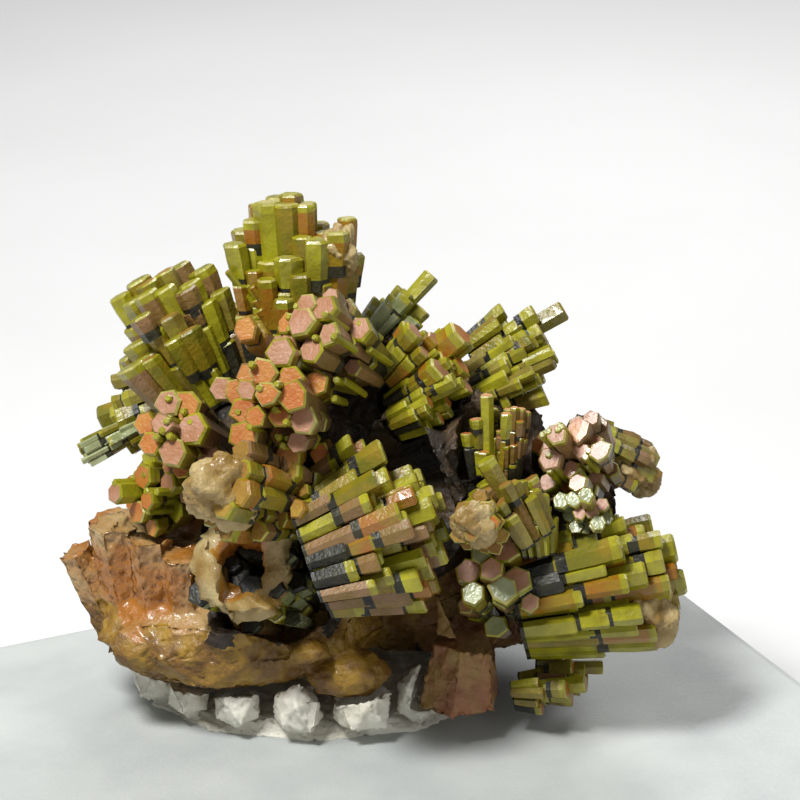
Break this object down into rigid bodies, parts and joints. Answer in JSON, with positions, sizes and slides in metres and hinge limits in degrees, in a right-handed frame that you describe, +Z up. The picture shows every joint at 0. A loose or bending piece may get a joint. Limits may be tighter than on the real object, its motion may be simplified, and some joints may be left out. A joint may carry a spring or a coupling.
{
  "type": "mineral specimen on a stand",
  "caption": "Pyromorphite specimen: barrel-shaped bundles of green-yellow hexagonal crystals with tan tips on a rusty matrix, bedded in white putty on a flat grey slab.",
  "frame": {"origin": "middle of the slab's underside", "axes": "+Z up; X along the slab's longer side; the specimen's front, as in the picture, faces -Y and is turned 26 degrees towards -X"},
  "size_m": [0.042, 0.034, 0.0308],
  "materials": {
    "pyromorphite_green": "resinous",
    "pyromorphite_olive": "resinous",
    "pyromorphite_amber": "resinous",
    "pyromorphite_tan": "satin",
    "pyromorphite_cream": "matte",
    "pyromorphite_silver": "glossy",
    "weathered_rock": "rough",
    "white_putty": "matte",
    "grey_slab": "satin"
  },
  "bodies": {
    "root": {"crown_barrel": "pyromorphite_green", "upper_left_barrel": "pyromorphite_olive", "far_left_barrel": "pyromorphite_olive", "upper_tip_cluster": "pyromorphite_tan", "middle_tip_cluster": "pyromorphite_amber", "left_tip_cluster": "pyromorphite_tan", "lower_left_barrel": "pyromorphite_green", "crusted_barrel": "pyromorphite_cream", "hollow_barrel": "pyromorphite_cream", "front_barrel": "pyromorphite_olive", "lower_right_barrel": "pyromorphite_olive", "upper_middle_barrel": "pyromorphite_amber", "twin_barrels": "pyromorphite_green", "silvery_barrel": "pyromorphite_silver", "upright_green_barrel": "pyromorphite_green", "leaning_barrel": "pyromorphite_olive", "pink_tip_barrel": "pyromorphite_tan", "right_small_crystals": "pyromorphite_silver", "far_right_barrel": "pyromorphite_olive", "small_crusted_barrel": "pyromorphite_tan", "small_crystal_cluster": "pyromorphite_silver", "bottom_right_barrel": "pyromorphite_olive", "back_middle_barrel": "pyromorphite_olive", "back_left_barrel": "pyromorphite_green", "back_lower_left_barrel": "pyromorphite_amber", "back_right_barrel": "pyromorphite_olive", "back_upper_right_barrel": "pyromorphite_green", "back_lower_barrel": "pyromorphite_amber", "back_foot_barrel": "pyromorphite_tan", "matrix": "weathered_rock", "putty": "white_putty", "stand": "grey_slab"}
  },
  "joints": []
}
